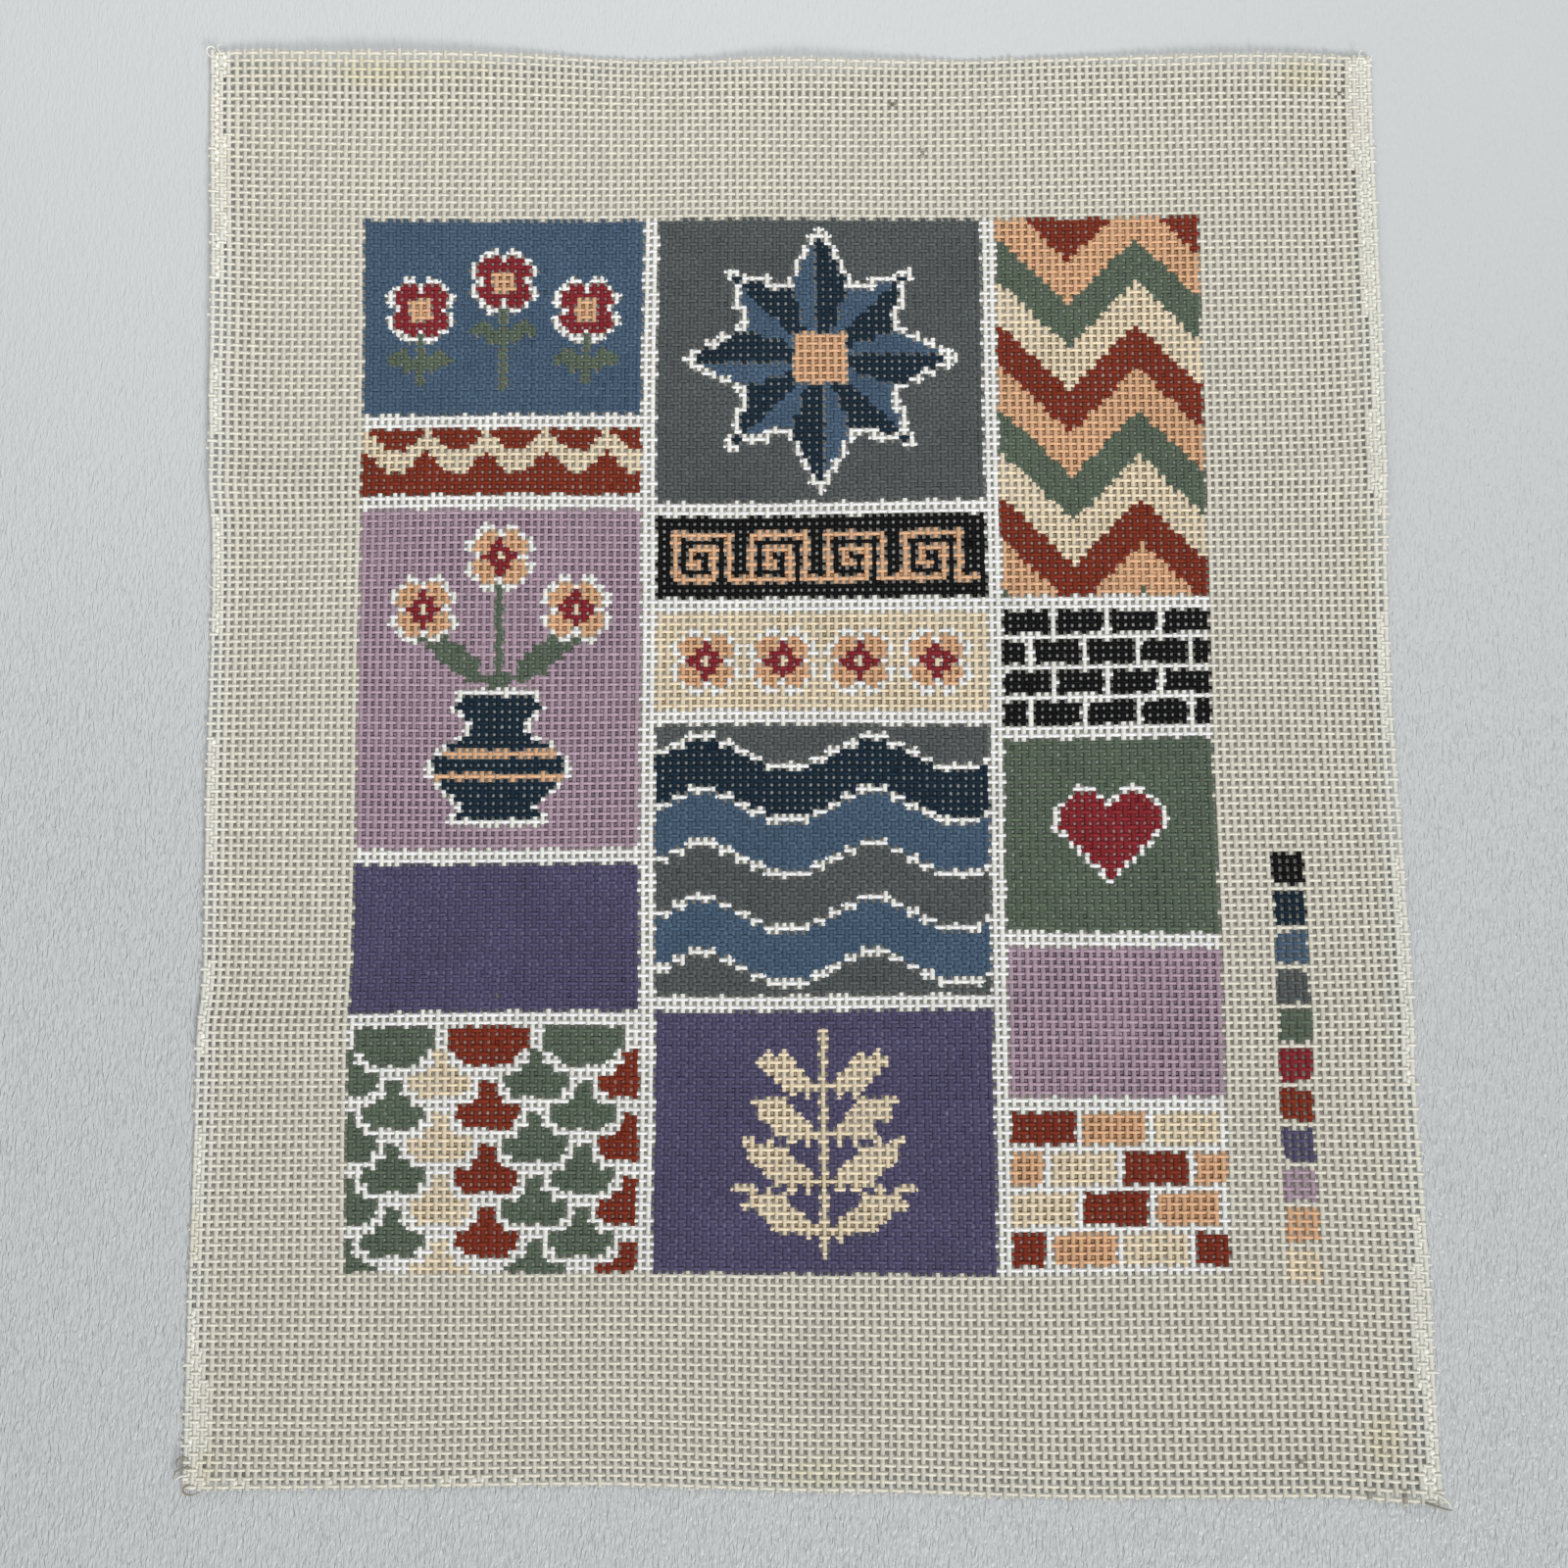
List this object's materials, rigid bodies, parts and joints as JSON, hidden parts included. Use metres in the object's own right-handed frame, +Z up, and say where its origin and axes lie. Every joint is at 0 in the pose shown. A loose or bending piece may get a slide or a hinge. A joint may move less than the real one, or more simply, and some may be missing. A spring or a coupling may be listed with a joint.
{
  "type": "needlepoint canvas panel",
  "caption": "Flat rectangular needlepoint canvas in open plain weave, painted with a patchwork of coloured blocks inside wide bare margins, raw cut edges.",
  "frame": {"origin": "middle of the panel's box in plan, at the surface that the panel lies on", "axes": "+Y to the top of the design along the panel's length, +X to the right of the design, +Z up out of the painted face"},
  "size_m": [0.3087, 0.37, 0.0041],
  "materials": {
    "canvas": "matt ivory cotton mono canvas, stiffened with size, painted by hand in flat colours"
  },
  "bodies": {
    "root": {"canvas_panel": "canvas"}
  },
  "joints": []
}
